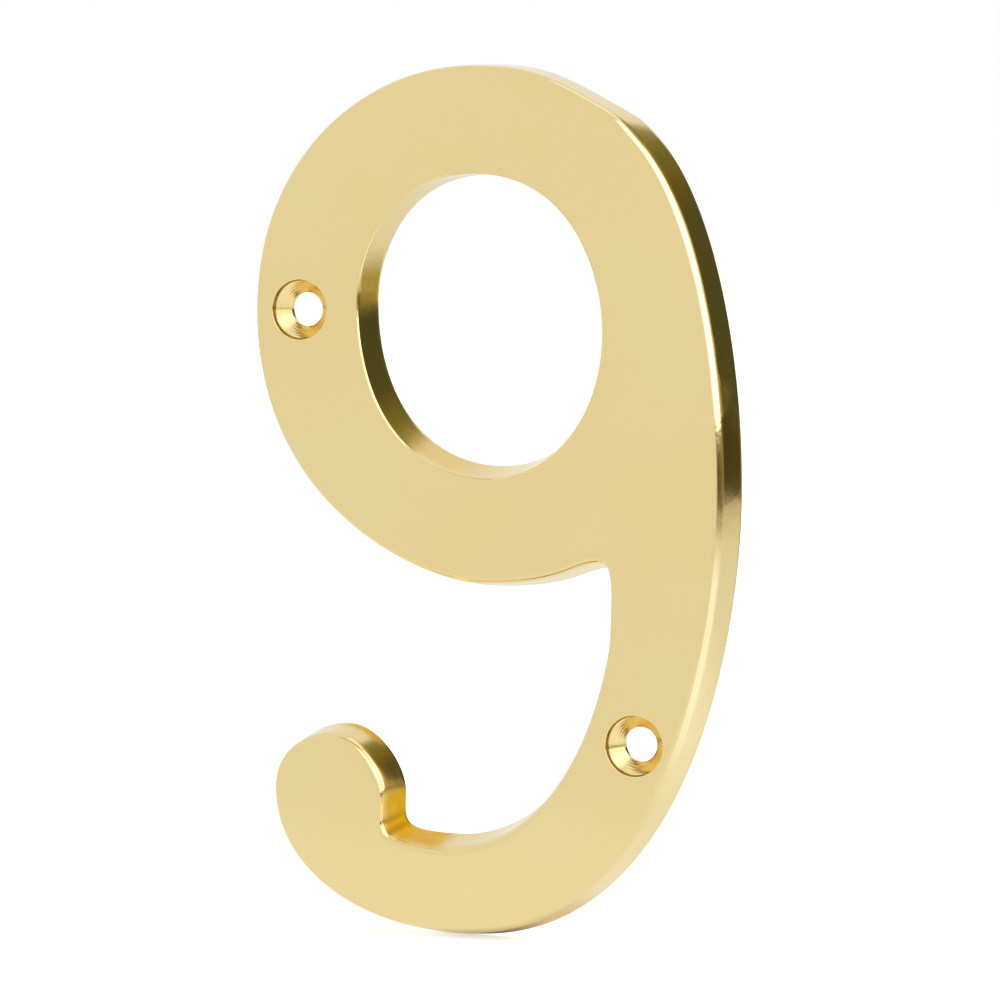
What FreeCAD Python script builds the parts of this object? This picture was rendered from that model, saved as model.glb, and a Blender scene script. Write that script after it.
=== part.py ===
import FreeCAD, Part
import math
import os

# Brass door numeral 9, held upright as it hangs on the door.
# +Z is up, +X runs to the reader's right, and the polished face looks along -Y.
# The flat back lies on the plane Y = 0, and the point midway between the two screw holes is the origin.

# Driving sizes, mm and degrees
THICKNESS = 5.0

# Each point of an edge has x, z, the heading there, how far the curve runs on before and after it,
# and how far the wall below it stands out at the back beyond the face
# The outer edge goes clockwise from the crown
CROWN = (0.3, 52.9, 0, 13.8, 7.2, 0.3)
BROW = (16.4, 48.4, -28, 6.9, 3.3, 0.2)
SHOULDER = (21.5, 44.0, -47, 3.2, 10.5, 0.9)
SIDE = (31.4, 5.1, -90, 13.2, 19.2, 1.0)
FOOT = (-1.6, -47.6, 180, 26.2, 13.9, 0.8)
BALL_SIDE = (-24.8, -31.9, 90, 8.7, 5.7, 0.4)
BALL_TOP = (-17.4, -25.2, 0, 1.8, 4.1, 1.0)
BALL_FLANK = (-10.7, -32.0, -91, 2.2, 4.2, 1.0)
TAIL_INSIDE = (-3.2, -37.9, 0, 8.8, 17.2, 1.3)
STEM_INSIDE = (17.9, -12.4, 90, 1.9, 3.4, 0.5)
CROTCH = (16.8, -3.9, 175, 1.9, 3.1, 0.9)
BOWL_BASE = (1.5, -6.7, 180, 10.6, 6.6, 0.7)
BOWL_SIDE = (-27.0, 24.6, 90, 24.0, 17.4, 0.6)
OUTLINE = (
    CROWN, BROW, SHOULDER, SIDE, FOOT, BALL_SIDE, BALL_TOP,
    BALL_FLANK, TAIL_INSIDE, STEM_INSIDE, CROTCH, BOWL_BASE, BOWL_SIDE,
)

# The counter is an oval that leans with the bowl, and its edge goes the other way round
COUNTER_TOP = (1.0, 40.5, 180, 12.2, 10.1, 0.1)
COUNTER_LEFT = (-13.7, 25.3, -90, 6.8, 11.6, 0.5)
COUNTER_BASE = (2.6, 5.4, 0, 10.2, 7.8, 1.3)
COUNTER_RIGHT = (17.0, 22.4, 90, 9.9, 7.0, 0.3)
COUNTER = (COUNTER_TOP, COUNTER_LEFT, COUNTER_BASE, COUNTER_RIGHT)

# How far the rounded edges reach in over the face and down the walls
OUTLINE_ROUND_ACROSS = 0.7
OUTLINE_ROUND_DOWN = 1.2
COUNTER_ROUND = 0.4

# Each rounded edge is laid in this many strips
ROUND_STRIPS = 3

# Two countersunk screw holes, one in the bowl and one in the stem
HOLE_ACROSS = 42.3
HOLE_RISE = 49.3
BORE_DIAMETER = 4.5
HEAD_DIAMETER = 7.0
HEAD_ANGLE = 82
BACK_SINK = 1.0


def edge_curves(points, inset, depth):
    """The curves round a closed edge, each as its four poles, at a depth behind the face.

    The edge is moved in by the inset, and out by the share of the wall's lean that it has at that depth.
    """
    y = depth - THICKNESS
    placed = []
    for x, z, heading, before, after, lean in points:
        step = lean * depth / THICKNESS - inset
        turn = math.radians(heading)
        placed.append((x - step * math.sin(turn), z + step * math.cos(turn)))
    curves = []
    for i, start in enumerate(points):
        j = (i + 1) % len(points)
        end = points[j]
        (x0, z0), (x3, z3) = placed[i], placed[j]
        growth = math.hypot(x3 - x0, z3 - z0) / math.hypot(end[0] - start[0], end[1] - start[1])
        out, into = math.radians(start[2]), math.radians(end[2])
        after, before = start[4] * growth, end[3] * growth
        curves.append([
            FreeCAD.Vector(x0, y, z0),
            FreeCAD.Vector(x0 + after * math.cos(out), y, z0 + after * math.sin(out)),
            FreeCAD.Vector(x3 - before * math.cos(into), y, z3 - before * math.sin(into)),
            FreeCAD.Vector(x3, y, z3),
        ])
    return curves


def closed_wire(curves):
    """A closed wire from the curves of one edge."""
    edges = []
    for poles in curves:
        curve = Part.BezierCurve()
        curve.setPoles(poles)
        edges.append(curve.toShape())
    return Part.Wire(edges)


def strips(levels, weights):
    """Faces swept across from level to level, one for each curve of the edge."""
    faces = []
    for rows in zip(*levels):
        surface = Part.BezierSurface()
        surface.increase(len(rows[0]) - 1, len(rows) - 1)
        for v, (row, weight) in enumerate(zip(rows, weights), 1):
            for u, pole in enumerate(row, 1):
                surface.setPole(u, v, pole, weight)
        faces.append(surface.toShape())
    return faces


def rounded_edge(points, across, down):
    """The faces of the quarter round that joins the face to the wall."""
    half_step = math.radians(90) / ROUND_STRIPS / 2
    reach = 1 / math.cos(half_step)
    faces = []
    for i in range(ROUND_STRIPS):
        levels = []
        for j, out in enumerate((1, reach, 1)):
            turn = (2 * i + j) * half_step
            inset = across * (1 - out * math.sin(turn))
            depth = down * (1 - out * math.cos(turn))
            levels.append(edge_curves(points, inset, depth))
        faces += strips(levels, (1, 1 / reach, 1))
    return faces


def side(points, across, down):
    """All faces along one closed edge, with the wires that bound the face and the back."""
    below_round = edge_curves(points, 0, down)
    on_back = edge_curves(points, 0, THICKNESS)
    faces = rounded_edge(points, across, down) + strips([below_round, on_back], (1, 1))
    on_face = edge_curves(points, across, 0)
    return faces, closed_wire(on_face), closed_wire(on_back)


def body():
    """The numeral with its counter and without its screw holes."""
    outer_faces, outer_front, outer_back = side(OUTLINE, OUTLINE_ROUND_ACROSS, OUTLINE_ROUND_DOWN)
    counter_faces, counter_front, counter_back = side(COUNTER, COUNTER_ROUND, COUNTER_ROUND)
    front = Part.Face([outer_front, counter_front], "Part::FaceMakerBullseye")
    back = Part.Face([outer_back, counter_back], "Part::FaceMakerBullseye")
    shell = Part.makeShell(outer_faces + counter_faces + [front, back])
    shell.sewShape()
    return Part.makeSolid(shell)


def screw_hole(x, z):
    """A bore with a countersink for the screw head and a small one at the back."""
    towards_back = FreeCAD.Vector(0, 1, 0)
    face = FreeCAD.Vector(x, -THICKNESS, z)
    bore_radius = BORE_DIAMETER / 2
    bore = Part.makeCylinder(bore_radius, THICKNESS, face, towards_back)
    head_depth = (HEAD_DIAMETER / 2 - bore_radius) / math.tan(math.radians(HEAD_ANGLE / 2))
    head_sink = Part.makeCone(HEAD_DIAMETER / 2, bore_radius, head_depth, face, towards_back)
    back_start = FreeCAD.Vector(x, -BACK_SINK, z)
    back_sink = Part.makeCone(bore_radius, bore_radius + BACK_SINK, BACK_SINK, back_start, towards_back)
    return bore.fuse([head_sink, back_sink])


def numeral_nine():
    """The whole numeral as one solid."""
    in_bowl = screw_hole(-HOLE_ACROSS / 2, HOLE_RISE / 2)
    in_stem = screw_hole(HOLE_ACROSS / 2, -HOLE_RISE / 2)
    return body().cut([in_bowl, in_stem]).Solids[0]


os.makedirs("parts", exist_ok=True)
numeral_nine().exportStep("parts/numeral_nine.step")
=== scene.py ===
"""Looks for the brass door numeral 9: the polished casting, and the studio that it stands in."""

import math

import bpy
from bpy.props import FloatProperty, FloatVectorProperty, PointerProperty
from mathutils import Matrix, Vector, noise
from mathutils.geometry import delaunay_2d_cdt


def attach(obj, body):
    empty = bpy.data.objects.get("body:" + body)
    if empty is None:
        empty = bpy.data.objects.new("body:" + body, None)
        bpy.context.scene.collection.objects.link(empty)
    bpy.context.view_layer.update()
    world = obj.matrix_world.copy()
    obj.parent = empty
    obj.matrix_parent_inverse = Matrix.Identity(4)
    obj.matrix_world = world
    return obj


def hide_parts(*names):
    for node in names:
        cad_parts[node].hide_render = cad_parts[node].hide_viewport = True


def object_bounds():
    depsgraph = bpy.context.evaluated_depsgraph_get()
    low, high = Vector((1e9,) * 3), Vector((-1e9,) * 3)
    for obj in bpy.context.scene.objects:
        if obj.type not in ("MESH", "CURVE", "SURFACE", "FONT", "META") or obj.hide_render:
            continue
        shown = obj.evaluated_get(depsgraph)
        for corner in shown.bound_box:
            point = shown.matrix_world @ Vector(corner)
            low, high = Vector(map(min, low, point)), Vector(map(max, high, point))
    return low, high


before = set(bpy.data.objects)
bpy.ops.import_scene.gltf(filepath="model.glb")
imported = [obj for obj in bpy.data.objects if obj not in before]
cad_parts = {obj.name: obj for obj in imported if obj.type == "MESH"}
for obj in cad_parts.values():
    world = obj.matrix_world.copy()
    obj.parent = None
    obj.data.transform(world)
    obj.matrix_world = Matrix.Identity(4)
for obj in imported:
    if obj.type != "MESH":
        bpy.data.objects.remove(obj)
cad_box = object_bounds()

bl_info = {
    "name": "Brass door numeral",
    "version": (1, 0, 0),
    "blender": (4, 5, 0),
    "location": "View3D > Sidebar > Numeral",
    "description": "Builds a polished brass door numeral 9 and the studio around it",
    "category": "Object",
}

BODY = "root"
NODE = "numeral_nine"
MM = 0.001

# Each point of an edge has x, z, the heading there, how far the curve runs on before and after it,
# and how far the wall below it stands out at the back beyond the face, in mm and degrees
OUTLINE = (
    (0.3, 52.9, 0, 13.8, 7.2, 0.3),
    (16.4, 48.4, -28, 6.9, 3.3, 0.2),
    (21.5, 44.0, -47, 3.2, 10.5, 0.9),
    (31.4, 5.1, -90, 13.2, 19.2, 1.0),
    (-1.6, -47.6, 180, 26.2, 13.9, 0.8),
    (-24.8, -31.9, 90, 8.7, 5.7, 0.4),
    (-17.4, -25.2, 0, 1.8, 4.1, 1.0),
    (-10.7, -32.0, -91, 2.2, 4.2, 1.0),
    (-3.2, -37.9, 0, 8.8, 17.2, 1.3),
    (17.9, -12.4, 90, 1.9, 3.4, 0.5),
    (16.8, -3.9, 175, 1.9, 3.1, 0.9),
    (1.5, -6.7, 180, 10.6, 6.6, 0.7),
    (-27.0, 24.6, 90, 24.0, 17.4, 0.6),
)
COUNTER = (
    (1.0, 40.5, 180, 12.2, 10.1, 0.1),
    (-13.7, 25.3, -90, 6.8, 11.6, 0.5),
    (2.6, 5.4, 0, 10.2, 7.8, 1.3),
    (17.0, 22.4, 90, 9.9, 7.0, 0.3),
)

# Closed-in places of the wall, where a deep gold is painted in as a painted reflection of brass mirroring brass: x, z,
# the reach of the full tint and of the last of it, how deep from the back it goes, all in mm, and its share
PAINTED_REFLECTION_POCKETS = (
    (-9.2, -36.8, 4.6, 6.9, 4.9, 1.0),
    (-14.8, -25.8, 1.5, 3.6, 1.8, 1.0),
    (-4.5, 8.5, 3.0, 8.0, 4.5, 0.35),
)

# The notch beside the ball, where the edge is rounded less: x, z, the reach of the full effect and of the
# last of it in mm, and the share of the rounding that is left
CRISP_NOTCH = (-9.6, -36.2, 3.0, 6.5, 0.5)

# The finishes, in the order of the materials
FINISHES = ("face", "side", "cut", "back")

# The mesh's fineness: lengths in mm, and numbers of steps
EDGE_STEP = 0.4
LEAST_EDGE_STEPS = 6
CAP_STEP = 1.2
GUARD = 0.03
ROUND_STEPS = 10
WALL_STEPS = 8
BROKEN_EDGE_STEPS = 3
HOLE_SEGMENTS = 128
TOOL_RING_POINTS = 8
LIP_STEPS = 5
BORE_STEPS = 5
SHARP_ANGLE = math.radians(28)

# The polishing waves: how much finer they are through the thickness, the fineness per mm and the share of
# the broad ones and of the small ones, and how far the small ones are moved away from the broad ones
WAVE_STRETCH = 1.4
BROAD_WAVES, SMALL_WAVES, SMALL_SHIFT = (0.16, 0.35), (0.5, 0.15), Vector((7, 3, 5))

# Tool rings swell and fade over so many of them, between these shares of their depth
RING_SWELL = 3.4
RING_MEAN, RING_CHANGE = 0.55, 0.45

# Distances from the middle of a screw hole, in metres: the corner under the countersink's rim, where a dark reflection
# is painted, as the ranges over which it begins and ends, and the faint witness ring on the face
RIM_CORNER = (0.00338, 0.00346), (0.003505, 0.00352)
WITNESS_RING, WITNESS_WIDTH = 0.0056, 0.0004

# The cards round the numeral, in metres and degrees
CARD_DISTANCE = 0.6
CARD_STEP = 3
CARD_TOP = 0.95
LAMP_TOP = 1.2
SKIRTING = 0.03
CORNER_BEARINGS, LAMP_BEARINGS, SKIRT_BEARINGS = (4, 61), (61, 136), (4, 122)
# The high lamp's left, right, front and back
HIGH_LAMP = (-0.02, 0.45, 0.24, 0.60)
HIGH_LAMP_COLOUR, HIGH_LAMP_STRENGTH = (0.80, 0.88, 1.0), 1.5

# The dark corner's colours by height, the olive ones at its left by height, and those of its warm edge by
# bearing. The olive and the pale left give way to the next over their ranges of bearing
CORNER_BY_HEIGHT = (
    (0.00, (0.07, 0.075, 0.03)), (0.27, (0.10, 0.09, 0.035)), (0.34, (0.16, 0.13, 0.03)),
    (0.42, (0.26, 0.18, 0.03)), (0.50, (0.36, 0.24, 0.04)), (0.60, (0.44, 0.31, 0.08)),
    (0.70, (0.55, 0.42, 0.14)), (0.80, (0.70, 0.62, 0.48)), (0.93, (0.98, 0.97, 1.0)),
)
OLIVE_BY_HEIGHT = (
    (0.27, (0.12, 0.11, 0.04)), (0.42, (0.19, 0.18, 0.05)), (0.50, (0.26, 0.24, 0.07)),
    (0.60, (0.40, 0.36, 0.11)), (0.72, (0.72, 0.63, 0.42)), (0.90, (0.98, 0.97, 0.95)),
)
WARM_BY_BEARING = (
    (38, (0.30, 0.19, 0.02)), (42, (0.34, 0.22, 0.03)), (45, (0.45, 0.30, 0.06)), (48, (0.60, 0.44, 0.15)),
    (51, (0.70, 0.56, 0.30)), (54, (0.84, 0.73, 0.50)), (57, (0.96, 0.87, 0.75)), (60, (1.0, 1.0, 1.0)),
)
OLIVE_TO = (29, 34)
PALE_LEFT, PALE_TO = (0.94, 0.94, 0.96), (7, 21)
# The warm edge begins at these bearings, and leans over with the square of the height above a first one
WARM_FROM, LEAN_FROM, LEAN_GAIN = (46, 48), 0.08, 125.0
# Two ranges of height over which its colours move on, and by how many degrees
WARM_BENDS = (0.25, 0.42, 0.0, -6.0), (0.48, 0.72, 0.0, 10.0)

# The colours below the lamp by bearing, and a dim one that lies over the top of its left end: the heights
# over which it begins, and the bearings over which it ends
SKIRT_BY_BEARING = (
    (4, (0.90, 0.90, 0.88)), (22, (0.85, 0.82, 0.75)), (28, (0.44, 0.36, 0.11)), (35, (0.42, 0.34, 0.10)),
    (39, (0.20, 0.16, 0.05)), (42, (0.08, 0.06, 0.02)), (48, (0.05, 0.045, 0.015)), (52, (0.22, 0.18, 0.08)),
    (57, (0.30, 0.26, 0.13)), (64, (0.26, 0.21, 0.10)), (76, (0.17, 0.13, 0.05)), (95, (0.08, 0.06, 0.01)),
    (106, (0.12, 0.11, 0.03)), (122, (0.8, 0.8, 0.78)),
)
SKIRT_DIM, DIM_ABOVE, DIM_TO = (0.12, 0.11, 0.04), (-0.01, 0.025), (36, 40)

# The tall lamp's brightness by bearing, at its foot and at its head, the most that it reaches, and the height
# over which the foot turns into the head
LAMP_FOOT = ((61, 1.1), (66, 3.0), (101, 3.0), (112, 1.5), (122, 1.05), (136, 0.96))
LAMP_HEAD = ((61, 1.1), (66, 3.0), (108, 2.6), (126, 1.7), (136, 1.0))
LAMP_MOST, HEAD_ABOVE = 3.0, (0.16, 0.36)

# The floor as the brass shows it, each range in degrees of bearing or metres of distance. It is paler near the
# numeral and darker behind it, where the range is followed by what it changes the level from and to
FLOOR_NEAR = (0.05, 0.20, 0.06, 0.0)
FLOOR_BEHIND = (0.02, 0.12, 0.0, -0.05)
# What the lamp adds to red, green and blue, and where
FLOOR_LIT = (0.28, 0.36, 0.62)
LIT_BEARINGS = (46, 62), (98, 114)
LIT_DISTANCES = (0.03, 0.09), (0.18, 0.34)
# What lies beyond the table, and where
FLOOR_BEYOND = (0.17, 0.14, 0.05)
BEYOND_BEARINGS = (46, 64), (100, 122)
BEYOND_DISTANCE = (0.26, 0.58)
# The golden part at the left, and the haze that runs on from it at a share
FLOOR_GOLDEN = (0.46, 0.36, 0.09)
GOLDEN_FROM, GOLDEN_TO, GOLDEN_DISTANCE = (22, 28), (35, 40), (0.11, 0.36)
HAZE_TO, HAZE_DISTANCE, HAZE_SHARE = (48, 56), (0.30, 0.50), 0.35
# Spots painted under the foot in the floor as the brass shows it, a golden glow and a dark contact shadow: place, full
# reach, last reach, share, colour
PAINTED_FOOT_SPOTS = (
    ((0.005, 0.004), 0.003, 0.012, 0.7, (0.68, 0.47, 0.16)),
    ((0.0, 0.002), 0.002, 0.009, 0.9, (0.14, 0.10, 0.06)),
)
# Half the floor's width in metres, and how much it glows for the eye
FLOOR_REACH, FLOOR_SIGHT = 4.0, 0.6

# The soft lamps: place, width and height in metres
SIDE_LAMP = ((0.75, -0.15, 0.38), 0.6, 0.7)
TOP_LAMP = ((0.12, 0.05, 0.95), 0.8, 0.8)


def size(name, text, millimetres, least=0.0, most=200.0):
    """A length that a user may change, given in mm and kept in metres."""
    return FloatProperty(
        name=name, description=text, default=millimetres * MM, min=least * MM, max=most * MM,
        precision=5, unit="LENGTH",
    )


def colour(name, text, value):
    """A colour that a user may change."""
    return FloatVectorProperty(name=name, description=text, default=value, min=0.0, max=1.0, subtype="COLOR")


def share(name, text, value, most=1.0):
    """A plain share or strength."""
    return FloatProperty(name=name, description=text, default=value, min=0.0, max=most, subtype="FACTOR")


def angle(name, text, degrees):
    """An angle, given in degrees."""
    return FloatProperty(
        name=name, description=text, default=math.radians(degrees), min=-math.pi, max=math.pi,
        subtype="ANGLE", unit="ROTATION",
    )


class NumeralSizes(bpy.types.PropertyGroup):
    """Sizes of the numeral and its screw holes."""

    thickness: size("Thickness", "From the flat back to the polished face", (cad_box[1][1] - cad_box[0][1]) / MM)
    round_across: size("Round across", "How far the outer edge's round reaches in over the face", 0.7)
    round_down: size("Round down", "How far the outer edge's round reaches down the side", 1.2)
    counter_round: size("Counter round", "Radius between the face and the counter's wall", 0.4)
    broken_edge: size("Broken edge", "Small round where the sides meet the back", 0.12)
    hole_across: size("Holes across", "Sideways distance between the screw holes", 42.3)
    hole_rise: size("Holes up", "Upright distance between the screw holes", 49.3)
    bore: size("Bore", "Diameter of the screw holes at their narrowest", 4.0)
    head: size("Countersink", "Diameter of the countersinks at the face", 7.0)
    head_angle: angle("Countersink angle", "Full angle of the countersinks", 92)
    head_step: size("Countersink step", "Depth of the short straight wall inside the countersink's rim", 0.6)
    back_sink: size("Back relief", "Depth of the wider cone at the back of a screw hole", 2.2)
    back_flare: size("Back flare", "How much wider the hole is at the back than the bore, to each side", 1.25)
    lip: size("Lip", "Round of the countersink's rim", 0.12)
    ring_pitch: size("Tool ring pitch", "Distance between the turned rings in a countersink", 0.36)
    ring_depth: size("Tool ring depth", "Depth of the turned rings in a countersink", 0.007)
    wall_waves: size("Wall waves", "Depth of the slow waves that hand polishing leaves on the sides", 0.02)


class BrassFinish(bpy.types.PropertyGroup):
    """Colours and polish of the brass."""

    brass: colour("Brass", "Polished yellow brass", (0.83, 0.68, 0.335))
    deep_brass: colour("Deep brass", "Brass where it is a little redder", (0.80, 0.61, 0.26))
    fresh_brass: colour("Fresh brass", "Newly cut brass in the countersinks", (0.94, 0.75, 0.35))
    # Painted reflection: a deep gold laid into the colour of the closed-in places, standing for brass mirroring brass
    painted_reflection_gold: colour("Deep gold", "Brass that mirrors brass in the closed-in places", (0.74, 0.41, 0.0))
    dull_brass: colour("Dull brass", "Brass on the ground back", (0.56, 0.42, 0.20))
    # A brown used for real stains on the back, and for painted shade in inner corners and under the countersinks' rims
    tarnish_and_painted_shade: colour("Tarnish", "Brown film in corners that no wheel reaches", (0.29, 0.20, 0.05))
    face_roughness: share("Face roughness", "Roughness of the mirror-polished face", 0.05)
    side_roughness: share("Side roughness", "Roughness of the polished sides", 0.07)
    cut_roughness: share("Cut roughness", "Roughness of the turned countersinks", 0.12)
    back_roughness: share("Back roughness", "Roughness of the ground back", 0.38)
    wear: share("Wear", "How much the rounded edges are rubbed", 0.5)
    scratches: share("Scratches", "How much the fine polishing scratches show", 0.35)


class StudioSettings(bpy.types.PropertyGroup):
    """The camera and the light."""

    azimuth: angle("Azimuth", "Camera's turn from straight in front towards +X", 23.71)
    elevation: angle("Elevation", "Camera's height above level", 4.0)
    distance: size("Distance", "From the camera to its target", 547.1, most=5000)
    target_x: size("Target X", "Sideways place of the camera's target", 2.29, least=-100)
    target_z: size("Target Z", "Height of the camera's target", 2.67, least=-100)
    lens: FloatProperty(name="Lens", description="Focal length on a 36 mm sensor", default=169.45, unit="CAMERA")
    floor: colour("Floor", "Pale floor", (0.80, 0.80, 0.80))
    key: share("Side lamp", "Radiance of the soft lamp at the right", 3.0, most=20.0)
    top: share("Top lamp", "Radiance of the soft lamp overhead", 2.0, most=20.0)
    sheet: share("Sheet", "Brightness of the floor as the brass shows it", 0.94, most=2.0)
    sky: share("Sky", "Brightness of the white room as the brass shows it", 0.945, most=2.0)
    fill: share("Fill", "Strength of the white room for matt surfaces", 0.8, most=5.0)


def edge_ring(points, inset, depth, thickness):
    """Places and outward directions along a closed edge, moved as the solid's edge is, all in mm."""
    placed = []
    for x, z, heading, _, _, lean in points:
        step = lean * depth / thickness - inset
        turn = math.radians(heading)
        placed.append(Vector((x - step * math.sin(turn), z + step * math.cos(turn))))
    ring = []
    for i, start in enumerate(points):
        j = (i + 1) % len(points)
        end = points[j]
        chord = math.hypot(end[0] - start[0], end[1] - start[1])
        growth = (placed[j] - placed[i]).length / chord
        out, into = math.radians(start[2]), math.radians(end[2])
        a, d = placed[i], placed[j]
        b = a + Vector((math.cos(out), math.sin(out))) * start[4] * growth
        c = d - Vector((math.cos(into), math.sin(into))) * end[3] * growth
        steps = max(LEAST_EDGE_STEPS, round(chord / EDGE_STEP))
        for k in range(steps):
            t = k / steps
            u = 1 - t
            place = u**3 * a + 3 * u * u * t * b + 3 * u * t * t * c + t**3 * d
            run = u * u * (b - a) + 2 * u * t * (c - b) + t * t * (d - c)
            run.normalize()
            ring.append((place, Vector((-run.y, run.x))))
    return ring


def eased(value, low, high):
    """A value mapped smoothly from a range to 0 and 1, and held there."""
    t = min(max((value - low) / (high - low), 0.0), 1.0)
    return t * t * (3 - 2 * t)


def painted_reflection_share(x, y, z):
    """How much a point in mm lies in a closed-in place of the wall, where a deep gold reflection is painted."""
    most = 0.0
    for px, pz, full, last, deep, share_there in PAINTED_REFLECTION_POCKETS:
        away = 1 - eased(math.hypot(x - px, z - pz), full, last)
        most = max(most, share_there * away * (1 - eased(-y, deep - 1, deep)))
    return most


def crisper(ring, tight):
    """The ring drawn to its tighter form in the notch, and how much of its depth is left at each place."""
    x, z, full, last, left = CRISP_NOTCH
    drawn, kept = [], []
    for (place, outward), (tight_place, _) in zip(ring, tight):
        amount = 1 - eased(math.hypot(place.x - x, place.y - z), full, last)
        drawn.append((place.lerp(tight_place, amount), outward))
        kept.append(1 - amount * (1 - left))
    return drawn, kept


def add_ring(mesh, flat, y):
    """Adds a ring of vertices at depth y, or at a depth for each, and gives their numbers."""
    levels = y if isinstance(y, list) else [y] * len(flat)
    first = len(mesh["places"])
    mesh["places"] += [(p.x * MM, level * MM, p.y * MM) for p, level in zip(flat, levels)]
    return list(range(first, first + len(flat)))


def skin(mesh, rings, finish):
    """Quads from ring to ring. The first band belongs to the face and the last to the back."""
    last = len(rings) - 2
    for row, (a, b) in enumerate(zip(rings, rings[1:])):
        n = len(a)
        for i in range(n):
            j = (i + 1) % n
            mesh["faces"].append((a[i], a[j], b[j], b[i]))
        mesh["finish"] += ["face" if row == 0 else "back" if row == last else finish] * n


def wavy(ring, y, depth):
    """The ring pressed in by slow hand-polishing waves."""
    moved = []
    for place, outward in ring:
        at = Vector((place.x, y * WAVE_STRETCH, place.y))
        broad = noise.noise(at * BROAD_WAVES[0])
        small = noise.noise(at * SMALL_WAVES[0] + SMALL_SHIFT)
        moved.append(place - outward * depth * (0.5 + BROAD_WAVES[1] * broad + SMALL_WAVES[1] * small))
    return moved


def edge_side(mesh, points, across, down, sizes):
    """The rounded edge, the wall and the broken back edge, with guard rings for the flat caps."""
    t = sizes.thickness / MM
    broken = sizes.broken_edge / MM
    waves = sizes.wall_waves / MM
    guard_front = add_ring(mesh, [p for p, _ in edge_ring(points, across + GUARD, 0, t)], -t)
    rings, left = [guard_front], CRISP_NOTCH[-1]
    for i in range(ROUND_STEPS + 1):
        turn = math.radians(90) * i / ROUND_STEPS
        depth, inset = down * (1 - math.cos(turn)), across * (1 - math.sin(turn))
        ring, kept = crisper(edge_ring(points, inset, depth, t), edge_ring(points, inset * left, depth * left, t))
        levels = [depth * k - t for k in kept]
        rings.append(add_ring(mesh, wavy(ring, depth - t, waves * math.sin(turn) ** 2), levels))
    wall_end = t - broken
    for i in range(1, WALL_STEPS + 1):
        depth = down + (wall_end - down) * i / WALL_STEPS
        ring = edge_ring(points, 0, depth, t)
        rings.append(add_ring(mesh, wavy(ring, depth - t, waves), depth - t))
    for i in range(1, BROKEN_EDGE_STEPS + 1):
        turn = math.radians(90) * i / BROKEN_EDGE_STEPS
        depth = wall_end + broken * math.sin(turn)
        ring = edge_ring(points, broken * (1 - math.cos(turn)), depth, t)
        rings.append(add_ring(mesh, wavy(ring, depth - t, waves), depth - t))
    guard_back = add_ring(mesh, wavy(edge_ring(points, broken + GUARD, t, t), 0, waves), 0)
    rings.append(guard_back)
    skin(mesh, rings, "side")
    return guard_front, guard_back


def hole_profile(sizes):
    """A screw hole from the face to the back: radius and depth of each ring, in mm."""
    t = sizes.thickness / MM
    bore, head = sizes.bore / MM / 2, sizes.head / MM / 2
    lip, step = sizes.lip / MM, sizes.head_step / MM
    sink, flare = sizes.back_sink / MM, sizes.back_flare / MM
    half = sizes.head_angle / 2
    pitch, cut = sizes.ring_pitch / MM, sizes.ring_depth / MM
    profile = [(head + lip + GUARD, 0.0)]
    for i in range(LIP_STEPS + 1):
        turn = math.radians(90) * i / LIP_STEPS
        profile.append((head + lip * (1 - math.sin(turn)), lip * (1 - math.cos(turn))))
    profile.append((head, lip + step))
    slant = (head - bore) / math.sin(half)
    steps = round(slant / pitch * TOOL_RING_POINTS)
    for i in range(1, steps + 1):
        along = slant * i / steps
        uneven = RING_MEAN + RING_CHANGE * math.cos(2 * math.pi * along / (RING_SWELL * pitch))
        groove = cut * uneven * (0.5 - 0.5 * math.cos(2 * math.pi * along / pitch)) if i < steps else 0.0
        radius = head - along * math.sin(half) + groove * math.cos(half)
        depth = lip + step + along * math.cos(half) + groove * math.sin(half)
        profile.append((radius, depth))
    bore_start = lip + step + slant * math.cos(half)
    for i in range(1, BORE_STEPS + 1):
        profile.append((bore, bore_start + (t - sink - bore_start) * i / BORE_STEPS))
    for i in range(1, BORE_STEPS + 1):
        profile.append((bore + flare * i / BORE_STEPS, t - sink + sink * i / BORE_STEPS))
    profile.append((bore + flare + GUARD, t))
    return profile


def hole_side(mesh, x, z, sizes):
    """The wall of a screw hole, with guard rings for the caps."""
    rings = []
    for radius, depth in hole_profile(sizes):
        flat = []
        for k in range(HOLE_SEGMENTS):
            turn = 2 * math.pi * k / HOLE_SEGMENTS
            flat.append(Vector((x + radius * math.cos(turn), z + radius * math.sin(turn))))
        rings.append(add_ring(mesh, flat, depth - sizes.thickness / MM))
    skin(mesh, rings, "cut")
    return rings[0], rings[-1]


def inside(x, z, loop):
    """Whether a point lies inside a closed loop."""
    found = False
    for i, (x0, z0) in enumerate(loop):
        x1, z1 = loop[i - 1]
        if (z0 > z) != (z1 > z) and x < (x1 - x0) * (z - z0) / (z1 - z0) + x0:
            found = not found
    return found


def near(x, z, loop, reach):
    """Whether a point lies within reach of a loop's corners."""
    return any(abs(x - a) < reach and abs(z - b) < reach for a, b in loop)


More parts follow.
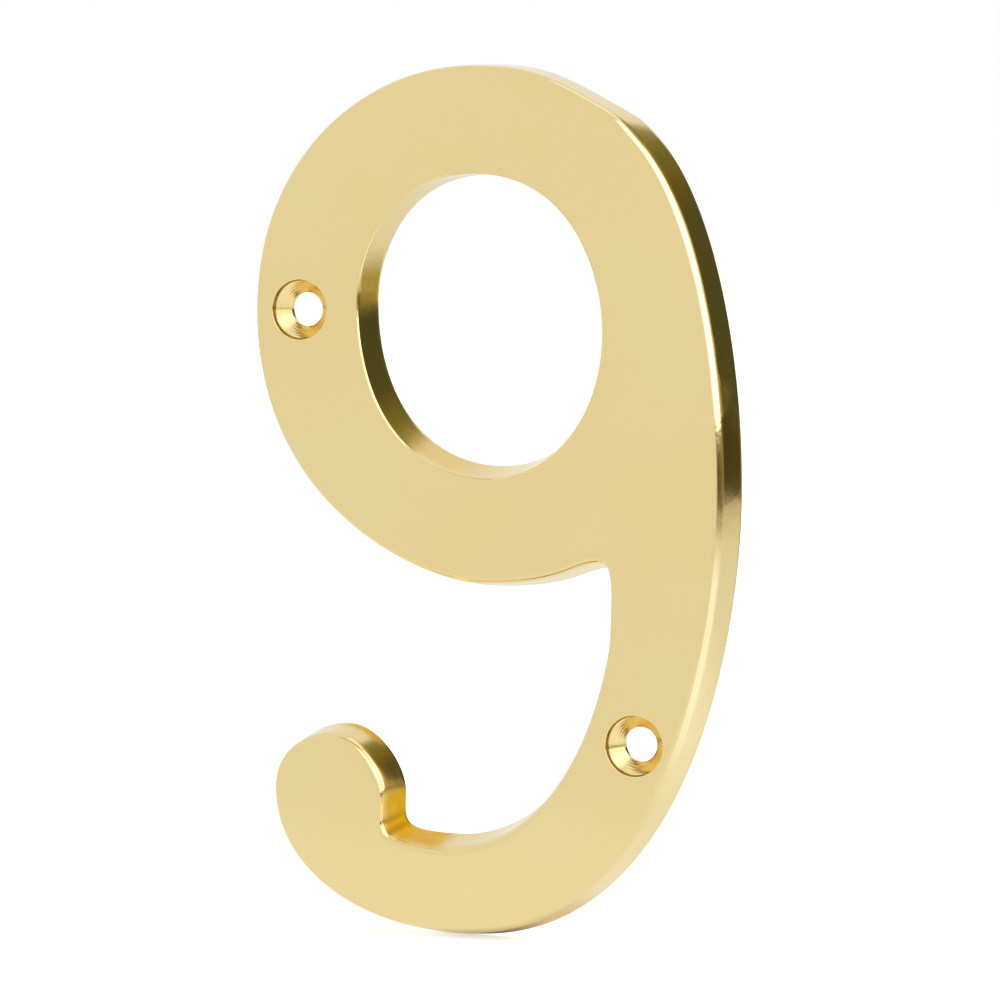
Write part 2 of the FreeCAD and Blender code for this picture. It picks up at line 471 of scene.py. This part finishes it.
def flat_cap(mesh, outer, holes, finish, facing_front):
    """Fills the flat between the outer guard ring and the inner ones with even triangles."""
    loops = [[(mesh["places"][v][0] / MM, mesh["places"][v][2] / MM) for v in ring] for ring in (outer, *holes)]
    numbers = [v for ring in (outer, *holes) for v in ring]
    places = [Vector(p) for loop in loops for p in loop]
    edges, first = [], 0
    for loop in loops:
        edges += [(first + i, first + (i + 1) % len(loop)) for i in range(len(loop))]
        first += len(loop)
    xs, zs = [p[0] for p in loops[0]], [p[1] for p in loops[0]]
    row, z = 0, min(zs)
    while z < max(zs):
        x = min(xs) + (CAP_STEP / 2 if row % 2 else 0.0)
        while x < max(xs):
            if (
                inside(x, z, loops[0])
                and not any(inside(x, z, loop) for loop in loops[1:])
                and not any(near(x, z, loop, CAP_STEP / 2) for loop in loops)
            ):
                places.append(Vector((x, z)))
            x += CAP_STEP
        z += CAP_STEP * math.sqrt(3) / 2
        row += 1
    y = mesh["places"][outer[0]][1] / MM
    numbers += add_ring(mesh, places[first:], y)
    _, _, faces, origins, _, _ = delaunay_2d_cdt(places, edges, [], 0, 1e-7)
    for face, (a, b, c) in enumerate(faces):
        mid = (places[a] + places[b] + places[c]) / 3
        if not inside(mid.x, mid.y, loops[0]) or any(inside(mid.x, mid.y, loop) for loop in loops[1:]):
            continue
        corner = (places[b] - places[a]).cross(places[c] - places[a])
        keep = (corner > 0) == facing_front
        mesh["faces"].append((numbers[a], numbers[b], numbers[c]) if keep else (numbers[a], numbers[c], numbers[b]))
        mesh["finish"].append(finish)


def numeral_mesh(sizes):
    """The whole numeral as one closed mesh, each face with its finish."""
    mesh = {"places": [], "faces": [], "finish": []}
    across, down, small = sizes.round_across / MM, sizes.round_down / MM, sizes.counter_round / MM
    outer_front, outer_back = edge_side(mesh, OUTLINE, across, down, sizes)
    inner_front, inner_back = edge_side(mesh, COUNTER, small, small, sizes)
    x, z = sizes.hole_across / MM / 2, sizes.hole_rise / MM / 2
    bowl_front, bowl_back = hole_side(mesh, -x, z, sizes)
    stem_front, stem_back = hole_side(mesh, x, -z, sizes)
    flat_cap(mesh, outer_front, (inner_front, bowl_front, stem_front), "face", True)
    flat_cap(mesh, outer_back, (inner_back, bowl_back, stem_back), "back", False)
    return mesh


def node_group(name, inputs, outputs):
    """An empty shader node group with its sockets, and its two end nodes."""
    group = bpy.data.node_groups.new(name, "ShaderNodeTree")
    for socket, kind, value in inputs:
        made = group.interface.new_socket(name=socket, in_out="INPUT", socket_type=kind)
        made.default_value = value
    for socket, kind in outputs:
        group.interface.new_socket(name=socket, in_out="OUTPUT", socket_type=kind)
    return group, group.nodes.new("NodeGroupInput"), group.nodes.new("NodeGroupOutput")


def feed(tree, socket, value):
    """Links a socket to another node's output, or sets its value."""
    if isinstance(value, bpy.types.NodeSocket):
        tree.links.new(value, socket)
    else:
        socket.default_value = value


def add(tree, kind, **values):
    """A node, with what feeds its sockets."""
    node = tree.nodes.new(kind)
    for name, value in values.items():
        feed(tree, node.inputs[name], value)
    return node


def maths(tree, operation, *values):
    """The result of one sum on up to three numbers or outputs."""
    node = tree.nodes.new("ShaderNodeMath")
    node.operation = operation
    for socket, value in zip(node.inputs, values):
        feed(tree, socket, value)
    return node.outputs[0]


def product(tree, *values):
    """All the values multiplied."""
    result, *others = values
    for other in others:
        result = maths(tree, "MULTIPLY", result, other)
    return result


def length(tree, across, away):
    """How far off a place is, from its two sides."""
    return maths(tree, "SQRT", maths(tree, "MULTIPLY_ADD", across, across, product(tree, away, away)))


def spread(tree, value, low, high, to_low=0.0, to_high=1.0):
    """A value mapped smoothly from one range to another, and held there."""
    node = tree.nodes.new("ShaderNodeMapRange")
    node.interpolation_type = "SMOOTHSTEP"
    tree.links.new(value, node.inputs["Value"])
    for name, number in (("From Min", low), ("From Max", high), ("To Min", to_low), ("To Max", to_high)):
        node.inputs[name].default_value = number
    return node.outputs["Result"]


def band(tree, value, rise, fall):
    """1 between the range where a value's band begins and the one where it ends, and 0 outside."""
    return product(tree, spread(tree, value, *rise), spread(tree, value, *fall, 1.0, 0.0))


def blend_colours(tree, amount, a, b, way="MIX"):
    """One colour laid over another by an amount."""
    node = tree.nodes.new("ShaderNodeMix")
    node.data_type = "RGBA"
    node.blend_type = way
    for name, value in (("Factor", amount), ("A", a), ("B", b)):
        socket = next(s for s in node.inputs if s.name == name and s.enabled)
        feed(tree, socket, value if isinstance(value, (float, bpy.types.NodeSocket)) else (*value, 1.0))
    return next(s for s in node.outputs if s.enabled)


def speckle(tree, where, scale, detail=2.0, roughness=0.5):
    """Plain cloudy noise at so many lumps a metre."""
    node = add(tree, "ShaderNodeTexNoise", Vector=where, Scale=scale, Detail=detail, Roughness=roughness)
    return node.outputs["Fac"]


def scratches_group():
    """Fine straight polishing scratches: a mask and a height, along a turned direction."""
    group, inputs, outputs = node_group(
        "Polishing scratches",
        (
            ("Turn", "NodeSocketFloat", 0.0),
            ("Lines per metre", "NodeSocketFloat", 4000.0),
            ("Stretch", "NodeSocketFloat", 0.03),
        ),
        (("Mask", "NodeSocketFloat"), ("Height", "NodeSocketFloat")),
    )
    where = group.nodes.new("ShaderNodeTexCoord").outputs["Object"]
    turned = group.nodes.new("ShaderNodeVectorRotate")
    turned.rotation_type = "Y_AXIS"
    group.links.new(where, turned.inputs["Vector"])
    group.links.new(inputs.outputs["Turn"], turned.inputs["Angle"])
    squeeze = add(group, "ShaderNodeCombineXYZ", X=inputs.outputs["Stretch"], Y=1.0, Z=1.0)
    stretched = group.nodes.new("ShaderNodeVectorMath")
    stretched.operation = "MULTIPLY"
    group.links.new(turned.outputs[0], stretched.inputs[0])
    group.links.new(squeeze.outputs[0], stretched.inputs[1])
    lines = speckle(group, stretched.outputs[0], inputs.outputs["Lines per metre"], 3.0, 0.6)
    patches = speckle(group, where, 160.0, 2.0)
    fine = spread(group, lines, 0.60, 0.78)
    group.links.new(product(group, fine, spread(group, patches, 0.42, 0.62)), outputs.inputs["Mask"])
    group.links.new(lines, outputs.inputs["Height"])
    return group


def waves_group():
    """The slow waves and fine orange peel that a buffing wheel leaves, as one height."""
    group, inputs, outputs = node_group(
        "Buffing waves",
        (("Waves per metre", "NodeSocketFloat", 150.0), ("Peel", "NodeSocketFloat", 0.15)),
        (("Height", "NodeSocketFloat"), ("Clouds", "NodeSocketFloat")),
    )
    where = group.nodes.new("ShaderNodeTexCoord").outputs["Object"]
    slow = speckle(group, where, inputs.outputs["Waves per metre"], 1.0, 0.4)
    peel = speckle(group, where, 1400.0, 2.0, 0.5)
    group.links.new(maths(group, "MULTIPLY_ADD", peel, inputs.outputs["Peel"], slow), outputs.inputs["Height"])
    group.links.new(speckle(group, where, 55.0, 4.0, 0.55), outputs.inputs["Clouds"])
    return group


def rings_group():
    """Rings turned round a screw hole: the distance from the nearer hole, and a ring height."""
    group, inputs, outputs = node_group(
        "Turned rings",
        (("Hole", "NodeSocketVector", (0.0, 0.0, 0.0)), ("Rings per metre", "NodeSocketFloat", 9000.0)),
        (("Distance", "NodeSocketFloat"), ("Height", "NodeSocketFloat")),
    )
    where = group.nodes.new("ShaderNodeTexCoord").outputs["Object"]
    split = add(group, "ShaderNodeSeparateXYZ", Vector=where)
    hole = add(group, "ShaderNodeSeparateXYZ", Vector=inputs.outputs["Hole"])
    # The other hole lies opposite, so a point in the right half is turned over to the left
    side = maths(group, "SIGN", split.outputs["Z"])
    across, up = (
        maths(group, "SUBTRACT", product(group, split.outputs[axis], side), hole.outputs[axis]) for axis in "XZ"
    )
    distance = length(group, across, up)
    lane = add(group, "ShaderNodeCombineXYZ", X=distance, Y=0.0, Z=0.0)
    height = speckle(group, lane.outputs[0], inputs.outputs["Rings per metre"], 2.0, 0.6)
    group.links.new(distance, outputs.inputs["Distance"])
    group.links.new(height, outputs.inputs["Height"])
    return group


def rubbed_edges_group():
    """A mask of convex edges that hands rub bright, and one of inner corners, where shade is painted."""
    group, inputs, outputs = node_group(
        "Rubbed edges",
        (("Rubbed", "NodeSocketFloat", 0.53), ("Corner", "NodeSocketFloat", 0.47)),
        (("Edges", "NodeSocketFloat"), ("Corners", "NodeSocketFloat")),
    )
    point = group.nodes.new("ShaderNodeNewGeometry").outputs["Pointiness"]
    edge = maths(group, "SUBTRACT", point, inputs.outputs["Rubbed"])
    corner = maths(group, "SUBTRACT", inputs.outputs["Corner"], point)
    group.links.new(spread(group, edge, 0.0, 0.06), outputs.inputs["Edges"])
    group.links.new(spread(group, corner, 0.0, 0.06), outputs.inputs["Corners"])
    return group


def place_group(tree, group, **values):
    """A shared group placed in a material with its own values."""
    node = tree.nodes.new("ShaderNodeGroup")
    node.node_tree = group
    for name, value in values.items():
        node.inputs[name.replace("_", " ")].default_value = value
    return node


def bump(tree, height, strength, distance, under=None):
    """A bump from a height, laid on another one."""
    node = add(tree, "ShaderNodeBump", Strength=strength, Distance=distance, Height=height)
    if under is not None:
        tree.links.new(under, node.inputs["Normal"])
    return node.outputs["Normal"]


def metal(name):
    """A new material with a plain metal shader."""
    material = bpy.data.materials.new(name)
    material.use_nodes = True
    tree = material.node_tree
    shader = tree.nodes["Principled BSDF"]
    shader.inputs["Metallic"].default_value = 1.0
    return material, tree, shader


def polished_face(finish, groups):
    """Mirror-polished brass: faint tone clouds, sparse fine scratches and a witness ring round each hole."""
    material, tree, shader = metal("Polished brass face")
    waves = place_group(tree, groups["waves"], Waves_per_metre=90.0, Peel=0.05)
    fine = place_group(tree, groups["scratches"], Turn=0.25, Lines_per_metre=5200.0, Stretch=0.02)
    cross = place_group(tree, groups["scratches"], Turn=1.9, Lines_per_metre=3600.0, Stretch=0.03)
    rings = place_group(tree, groups["rings"], Hole=groups["hole"], Rings_per_metre=8000.0)
    tone = blend_colours(tree, spread(tree, waves.outputs["Clouds"], 0.35, 0.7), finish.brass, finish.deep_brass)
    soft = blend_colours(tree, 0.75, tone, finish.brass)
    tree.links.new(soft, shader.inputs["Base Color"])
    off = maths(tree, "ABSOLUTE", maths(tree, "SUBTRACT", rings.outputs["Distance"], WITNESS_RING))
    witness = spread(tree, off, 0.0, WITNESS_WIDTH, 1.0, 0.0)
    marks = maths(tree, "MAXIMUM", fine.outputs["Mask"], cross.outputs["Mask"])
    marks = product(tree, marks, finish.scratches * 0.12)
    haze = maths(tree, "MULTIPLY_ADD", witness, 0.02, finish.face_roughness)
    tree.links.new(maths(tree, "ADD", haze, marks), shader.inputs["Roughness"])
    slow = bump(tree, waves.outputs["Height"], strength=0.35, distance=0.00004)
    hair = bump(tree, fine.outputs["Height"], strength=finish.scratches * 0.1, distance=0.000004, under=slow)
    tree.links.new(hair, shader.inputs["Normal"])
    return material


def polished_side(finish, groups):
    """Polished sides: rounder waves, scratches, rubbed edges, painted shade in the inner corners and a painted gold
    reflection in the pockets.
    """
    material, tree, shader = metal("Polished brass side")
    waves = place_group(tree, groups["waves"], Waves_per_metre=260.0, Peel=0.14)
    fine = place_group(tree, groups["scratches"], Turn=0.9, Lines_per_metre=3000.0, Stretch=0.2)
    edges = place_group(tree, groups["edges"])
    clouds = spread(tree, waves.outputs["Clouds"], 0.35, 0.7, 0.0, 0.4)
    tone = blend_colours(tree, clouds, finish.brass, finish.deep_brass)
    # Painted shade: the colour is darkened in the inner corners
    dark = product(tree, edges.outputs["Corners"], 0.35)
    tone_with_painted_shade = blend_colours(tree, dark, tone, finish.tarnish_and_painted_shade)
    # Painted reflection: deep gold mixed into the colour where brass mirrors brass, which also roughens it there
    painted_reflection = tree.nodes.new("ShaderNodeAttribute")
    painted_reflection.attribute_name = "painted_reflection"
    where = tree.nodes.new("ShaderNodeTexCoord").outputs["Object"]
    patchy = spread(tree, speckle(tree, where, 600.0, 3.0), 0.35, 0.6, 0.88, 1.0)
    gold = product(tree, painted_reflection.outputs["Fac"], patchy)
    tree.links.new(blend_colours(tree, gold, tone_with_painted_shade, finish.painted_reflection_gold), shader.inputs["Base Color"])
    rubbed = product(tree, edges.outputs["Edges"], finish.wear * 0.05)
    rough = maths(tree, "MULTIPLY_ADD", fine.outputs["Mask"], finish.scratches * 0.3, finish.side_roughness)
    grain = spread(tree, waves.outputs["Clouds"], 0.45, 0.65, 0.0, 0.05)
    rough = maths(tree, "MULTIPLY_ADD", gold, 0.28, maths(tree, "ADD", rough, grain))
    tree.links.new(maths(tree, "SUBTRACT", rough, rubbed), shader.inputs["Roughness"])
    slow = bump(tree, waves.outputs["Height"], strength=0.6, distance=0.00006)
    hair = bump(tree, fine.outputs["Height"], strength=finish.scratches * 0.2, distance=0.00001, under=slow)
    tree.links.new(hair, shader.inputs["Normal"])
    return material


def turned_cut(finish, groups):
    """Freshly turned brass in the countersinks and bores: tool rings, and a painted dark reflection under the rim."""
    material, tree, shader = metal("Turned brass countersink")
    waves = place_group(tree, groups["waves"], Waves_per_metre=500.0, Peel=0.2)
    rings = place_group(tree, groups["rings"], Hole=groups["hole"], Rings_per_metre=9000.0)
    lane = spread(tree, rings.outputs["Height"], 0.35, 0.65)
    tone = blend_colours(tree, product(tree, lane, 0.4), finish.fresh_brass, finish.deep_brass)
    # Painted dark reflection: a brown ring laid into the colour in the corner under the rim
    painted_rim_shade = product(tree, band(tree, rings.outputs["Distance"], *RIM_CORNER), 0.85)
    tree.links.new(blend_colours(tree, painted_rim_shade, tone, finish.tarnish_and_painted_shade), shader.inputs["Base Color"])
    rough = maths(tree, "MULTIPLY_ADD", lane, 0.06, finish.cut_roughness - 0.03)
    tree.links.new(rough, shader.inputs["Roughness"])
    slow = bump(tree, waves.outputs["Height"], strength=0.3, distance=0.00003)
    turned = bump(tree, rings.outputs["Height"], strength=0.3, distance=0.00002, under=slow)
    tree.links.new(turned, shader.inputs["Normal"])
    return material


def ground_back(finish, groups):
    """The flat back: ground in one direction, duller, with stained patches."""
    material, tree, shader = metal("Ground brass back")
    waves = place_group(tree, groups["waves"], Waves_per_metre=120.0, Peel=0.3)
    grind = place_group(tree, groups["scratches"], Turn=0.12, Lines_per_metre=2600.0, Stretch=0.012)
    cross = place_group(tree, groups["scratches"], Turn=0.5, Lines_per_metre=1500.0, Stretch=0.02)
    patches = spread(tree, waves.outputs["Clouds"], 0.48, 0.68)
    dull = blend_colours(tree, grind.outputs["Height"], finish.dull_brass, finish.brass)
    stained = blend_colours(tree, product(tree, patches, 0.55), dull, finish.tarnish_and_painted_shade)
    tree.links.new(stained, shader.inputs["Base Color"])
    rough = maths(tree, "MULTIPLY_ADD", patches, 0.12, finish.back_roughness)
    rough = maths(tree, "MULTIPLY_ADD", cross.outputs["Mask"], -0.12, rough)
    tree.links.new(rough, shader.inputs["Roughness"])
    ground = bump(tree, grind.outputs["Height"], strength=0.5, distance=0.00003)
    crossed = bump(tree, cross.outputs["Mask"], strength=0.3, distance=0.00002, under=ground)
    uneven = bump(tree, waves.outputs["Height"], strength=0.3, distance=0.00004, under=crossed)
    tree.links.new(uneven, shader.inputs["Normal"])
    return material


class NUMERAL_OT_casting(bpy.types.Operator):
    """Build the numeral with its rounded edges, sloping sides and turned countersinks"""

    bl_idname = "numeral.casting"
    bl_label = "Numeral casting"

    def execute(self, context):
        sizes, finish = context.scene.numeral_sizes, context.scene.brass_finish
        parts = numeral_mesh(sizes)
        mesh = bpy.data.meshes.new("brass_nine")
        mesh.from_pydata(parts["places"], [], parts["faces"])
        mesh.polygons.foreach_set("material_index", [FINISHES.index(f) for f in parts["finish"]])
        mesh.polygons.foreach_set("use_smooth", [True] * len(mesh.polygons))
        mesh.set_sharp_from_angle(angle=SHARP_ANGLE)
        mesh.update()
        casting = bpy.data.objects.new("brass_nine", mesh)
        context.scene.collection.objects.link(casting)
        # The share of the painted deep-gold reflection at each vertex
        tint = mesh.attributes.new("painted_reflection", "FLOAT", "POINT")
        tint.data.foreach_set("value", [painted_reflection_share(x / MM, y / MM, z / MM) for x, y, z in parts["places"]])
        groups = {
            "scratches": scratches_group(), "waves": waves_group(),
            "rings": rings_group(), "edges": rubbed_edges_group(),
            "hole": (-sizes.hole_across / 2, 0.0, sizes.hole_rise / 2),
        }
        for make in (polished_face, polished_side, turned_cut, ground_back):
            mesh.materials.append(make(finish, groups))
        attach(casting, BODY)
        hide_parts(NODE)
        return {"FINISHED"}


def staged(name, corners, faces, material):
    """A staged mesh that is no part of the numeral."""
    mesh = bpy.data.meshes.new(name)
    mesh.from_pydata(corners, [], faces)
    mesh.materials.append(material)
    made = bpy.data.objects.new(name, mesh)
    bpy.context.scene.collection.objects.link(made)
    return made


def only_in_brass(made):
    """Leaves a card visible in reflections alone."""
    made.visible_camera = made.visible_diffuse = made.visible_shadow = False


def upright_card(name, bearings, low, high, material):
    """A staged upright wall bent round the numeral between two bearings, seen only in the brass."""
    steps = round((bearings[1] - bearings[0]) / CARD_STEP)
    corners, faces = [], []
    for i in range(steps + 1):
        turn = math.radians(bearings[0] + (bearings[1] - bearings[0]) * i / steps)
        across, away = math.sin(turn) * CARD_DISTANCE, math.cos(turn) * CARD_DISTANCE
        corners += [(across, away, low), (across, away, high)]
    for i in range(steps):
        faces.append((2 * i, 2 * i + 2, 2 * i + 3, 2 * i + 1))
    only_in_brass(staged(name, corners, faces, material))


def studio_place(tree):
    """Where a point of the studio lies: its bearing from +Y towards +X in degrees, distance, and X, Y and Z."""
    split = tree.nodes.new("ShaderNodeSeparateXYZ")
    tree.links.new(tree.nodes.new("ShaderNodeTexCoord").outputs["Object"], split.inputs[0])
    x, y, z = split.outputs
    bearing = maths(tree, "DEGREES", maths(tree, "ARCTAN2", x, y))
    return bearing, length(tree, x, y), x, y, z


def ramp(tree, value, stops):
    """Colours laid along a value, each stop with the value that it lies at."""
    low, high = stops[0][0], stops[-1][0]
    node = tree.nodes.new("ShaderNodeValToRGB")
    elements = node.color_ramp.elements
    for at, shade in stops:
        place = (at - low) / (high - low)
        element = elements[0] if at == low else elements[-1] if at == high else elements.new(place)
        element.position = place
        element.color = (*shade, 1.0)
    tree.links.new(maths(tree, "MULTIPLY_ADD", value, 1 / (high - low), -low / (high - low)), node.inputs["Fac"])
    return node.outputs["Color"]


def glowing(name):
    """A material that only glows, its tree, and the light that it gives."""
    material = bpy.data.materials.new(name)
    material.use_nodes = True
    tree = material.node_tree
    tree.nodes.clear()
    out = tree.nodes.new("ShaderNodeOutputMaterial")
    light = tree.nodes.new("ShaderNodeEmission")
    tree.links.new(light.outputs[0], out.inputs["Surface"])
    return material, tree, light


def dark_corner():
    """The dark corner behind the numeral: olive at its left, with a warm leaning edge towards the lamp."""
    material, tree, light = glowing("Dark corner")
    bearing, _, _, _, height = studio_place(tree)
    olive, brown = ramp(tree, height, OLIVE_BY_HEIGHT), ramp(tree, height, CORNER_BY_HEIGHT)
    corner = blend_colours(tree, spread(tree, bearing, *OLIVE_TO), olive, brown)
    bends = maths(tree, "ADD", *(spread(tree, height, *bend) for bend in WARM_BENDS))
    warm = ramp(tree, maths(tree, "ADD", bearing, bends), WARM_BY_BEARING)
    above = maths(tree, "MAXIMUM", maths(tree, "SUBTRACT", height, LEAN_FROM), 0.0)
    leaning = maths(tree, "MULTIPLY_ADD", product(tree, above, above), LEAN_GAIN, bearing)
    edge = blend_colours(tree, spread(tree, leaning, *WARM_FROM), (0.0, 0.0, 0.0), warm)
    shade = blend_colours(tree, 1.0, corner, edge, "LIGHTEN")
    tree.links.new(blend_colours(tree, spread(tree, bearing, *PALE_TO), PALE_LEFT, shade), light.inputs["Color"])
    return material


def tall_lamp():
    """The tall lamp, which reaches further round at its head."""
    material, tree, light = glowing("Tall lamp")
    bearing, _, _, _, height = studio_place(tree)
    foot, head = (
        ramp(tree, bearing, [(at, (level / LAMP_MOST,) * 3) for at, level in stops]) for stops in (LAMP_FOOT, LAMP_HEAD)
    )
    tree.links.new(blend_colours(tree, spread(tree, height, *HEAD_ABOVE), foot, head), light.inputs["Color"])
    light.inputs["Strength"].default_value = LAMP_MOST
    return material


def below_lamp():
    """The room's lower edge, from the pale left to the dark below the lamp."""
    material, tree, light = glowing("Below the lamp")
    bearing, _, _, _, height = studio_place(tree)
    dim = product(tree, spread(tree, height, *DIM_ABOVE), spread(tree, bearing, *DIM_TO, 1.0, 0.0))
    skirt = ramp(tree, bearing, SKIRT_BY_BEARING)
    tree.links.new(blend_colours(tree, dim, skirt, SKIRT_DIM), light.inputs["Color"])
    return material


def soft_lamp(name, place, width, height, radiance):
    """A soft lamp of a given radiance, turned to the numeral. The cards take its place in reflections."""
    light = bpy.data.lights.new(name, "AREA")
    light.shape = "RECTANGLE"
    light.size, light.size_y = width, height
    light.energy = radiance * math.pi * width * height
    made = bpy.data.objects.new(name, light)
    made.location = place
    made.rotation_euler = (-Vector(place)).to_track_quat("-Z", "Y").to_euler()
    made.visible_glossy = False
    bpy.context.scene.collection.objects.link(made)


def white_for_sight(tree):
    """1 for rays from the camera, in reflections and through glass, and 0 for the rest."""
    path = tree.nodes.new("ShaderNodeLightPath")
    seen = maths(tree, "MAXIMUM", path.outputs["Is Camera Ray"], path.outputs["Is Glossy Ray"])
    return maths(tree, "MAXIMUM", seen, path.outputs["Is Transmission Ray"])


class NUMERAL_OT_studio(bpy.types.Operator):
    """Set the floor, the cards, the soft lamps, the white room and the camera"""

    bl_idname = "numeral.studio"
    bl_label = "Studio"

    def execute(self, context):
        scene, studio = context.scene, context.scene.studio
        scene.view_settings.view_transform = "Standard"
        low = cad_box[0][2]
        self.room(scene, studio)
        self.floor(studio, low)
        self.cards(low)
        self.lamps(studio)
        self.camera(scene, studio)
        return {"FINISHED"}

    def room(self, scene, studio):
        """A white room: full white for the eye, less for matt surfaces."""
        world = bpy.data.worlds.new("White room")
        scene.world = world
        world.use_nodes = True
        tree = world.node_tree
        back = tree.nodes["Background"]
        back.inputs["Color"].default_value = (1.0, 1.0, 1.0, 1.0)
        strength = maths(tree, "MULTIPLY_ADD", white_for_sight(tree), 1.0 - studio.fill, studio.fill)
        glossy = tree.nodes.new("ShaderNodeLightPath").outputs["Is Glossy Ray"]
        strength = maths(tree, "MULTIPLY_ADD", glossy, studio.sky - 1.0, strength)
        tree.links.new(strength, back.inputs["Strength"])

    def floor(self, studio, low):
        """A wide pale floor that keeps the numeral's shadow, and shows in the brass as an even pale sheet."""
        material = bpy.data.materials.new("Pale floor")
        material.use_nodes = True
        tree = material.node_tree
        shader = tree.nodes["Principled BSDF"]
        shader.inputs["Base Color"].default_value = (*studio.floor, 1.0)
        shader.inputs["Roughness"].default_value = 0.8
        shader.inputs["Specular IOR Level"].default_value = 0.0
        shader.inputs["Emission Color"].default_value = (1.0, 1.0, 1.0, 1.0)
        tree.links.new(product(tree, white_for_sight(tree), FLOOR_SIGHT), shader.inputs["Emission Strength"])
        glow = tree.nodes.new("ShaderNodeEmission")
        tree.links.new(self.sheet(tree, studio), glow.inputs["Color"])
        choice = tree.nodes.new("ShaderNodeMixShader")
        tree.links.new(tree.nodes.new("ShaderNodeLightPath").outputs["Is Glossy Ray"], choice.inputs["Fac"])
        tree.links.new(shader.outputs[0], choice.inputs[1])
        tree.links.new(glow.outputs[0], choice.inputs[2])
        tree.links.new(choice.outputs[0], tree.nodes["Material Output"].inputs["Surface"])
        far = FLOOR_REACH
        corners = [(x, y, low) for x, y in ((-far, -far), (far, -far), (far, far), (-far, far))]
        staged("floor", corners, [(0, 1, 2, 3)], material)

    def sheet(self, tree, studio):
        """The floor as the brass shows it: paler near the numeral and by the side lamp, dark beyond the table, with a
        painted shadow and golden glow under the foot.
        """
        bearing, distance, x, y, _ = studio_place(tree)
        paler, darker = spread(tree, distance, *FLOOR_NEAR), spread(tree, y, *FLOOR_BEHIND)
        level = maths(tree, "ADD", maths(tree, "ADD", paler, darker), studio.sheet)
        lit = product(tree, band(tree, bearing, *LIT_BEARINGS), band(tree, distance, *LIT_DISTANCES))
        pale = tree.nodes.new("ShaderNodeCombineColor")
        for socket, gain in zip(pale.inputs, FLOOR_LIT):
            tree.links.new(maths(tree, "MULTIPLY_ADD", lit, gain, level), socket)
        beyond = product(tree, band(tree, bearing, *BEYOND_BEARINGS), spread(tree, distance, *BEYOND_DISTANCE))
        golden = product(tree, spread(tree, bearing, *GOLDEN_TO, 1.0, 0.0), spread(tree, distance, *GOLDEN_DISTANCE))
        haze = product(tree, spread(tree, bearing, *HAZE_TO, HAZE_SHARE, 0.0), spread(tree, distance, *HAZE_DISTANCE))
        golden = product(tree, spread(tree, bearing, *GOLDEN_FROM), maths(tree, "MAXIMUM", golden, haze))
        shade = blend_colours(tree, beyond, pale.outputs[0], FLOOR_BEYOND)
        shade = blend_colours(tree, golden, shade, FLOOR_GOLDEN)
        # Painted golden glow and painted contact shadow under the foot
        for place, full, last, most, tint in PAINTED_FOOT_SPOTS:
            off = length(tree, *(maths(tree, "SUBTRACT", side, middle) for side, middle in zip((x, y), place)))
            shade = blend_colours(tree, spread(tree, off, full, last, most, 0.0), shade, tint)
        return shade

    def cards(self, low):
        """Walls that only the brass sees: a dark corner behind, the tall lamp, what is below it, and a high lamp."""
        high, _, light = glowing("High lamp")
        light.inputs["Color"].default_value = (*HIGH_LAMP_COLOUR, 1.0)
        light.inputs["Strength"].default_value = HIGH_LAMP_STRENGTH
        left, right, front, back = HIGH_LAMP
        corners = [(x, y, CARD_TOP) for x, y in ((left, front), (right, front), (right, back), (left, back))]
        only_in_brass(staged("high_lamp", corners, [(0, 3, 2, 1)], high))
        upright_card("dark_corner", CORNER_BEARINGS, SKIRTING, CARD_TOP, dark_corner())
        upright_card("tall_lamp", LAMP_BEARINGS, SKIRTING, LAMP_TOP, tall_lamp())
        upright_card("below_lamp", SKIRT_BEARINGS, low, SKIRTING, below_lamp())

    def lamps(self, studio):
        """A soft lamp at the right and a broad one overhead."""
        soft_lamp("side_lamp", *SIDE_LAMP, studio.key)
        soft_lamp("top_lamp", *TOP_LAMP, studio.top)

    def camera(self, scene, studio):
        """The camera at the photograph's place."""
        data = bpy.data.cameras.new("camera")
        data.lens = studio.lens
        data.sensor_width = 36.0
        data.clip_start, data.clip_end = 0.01, 100.0
        eye = bpy.data.objects.new("camera", data)
        target = Vector((studio.target_x, 0.0, studio.target_z))
        level = math.cos(studio.elevation)
        across, away = math.sin(studio.azimuth) * level, -math.cos(studio.azimuth) * level
        towards = Vector((across, away, math.sin(studio.elevation)))
        eye.location = target + towards * studio.distance
        eye.rotation_euler = (-towards).to_track_quat("-Z", "Y").to_euler()
        scene.collection.objects.link(eye)
        scene.camera = eye


class NUMERAL_PT_panel(bpy.types.Panel):
    """The numeral's pieces and settings"""

    bl_label = "Brass numeral"
    bl_idname = "NUMERAL_PT_panel"
    bl_space_type = "VIEW_3D"
    bl_region_type = "UI"
    bl_category = "Numeral"

    def draw(self, context):
        for step in STEPS:
            self.layout.operator(step.bl_idname)
        for group in (context.scene.numeral_sizes, context.scene.brass_finish, context.scene.studio):
            box = self.layout.box()
            for name in group.bl_rna.properties.keys():
                if name not in ("rna_type", "name"):
                    box.prop(group, name)


STEPS = (NUMERAL_OT_casting, NUMERAL_OT_studio)
CLASSES = (NumeralSizes, BrassFinish, StudioSettings, *STEPS, NUMERAL_PT_panel)


def register():
    for made in CLASSES:
        bpy.utils.register_class(made)
    bpy.types.Scene.numeral_sizes = PointerProperty(type=NumeralSizes)
    bpy.types.Scene.brass_finish = PointerProperty(type=BrassFinish)
    bpy.types.Scene.studio = PointerProperty(type=StudioSettings)


def unregister():
    del bpy.types.Scene.numeral_sizes
    del bpy.types.Scene.brass_finish
    del bpy.types.Scene.studio
    for made in reversed(CLASSES):
        bpy.utils.unregister_class(made)


def main():
    register()
    bpy.ops.numeral.casting()
    bpy.ops.numeral.studio()


if __name__ == "__main__":
    main()
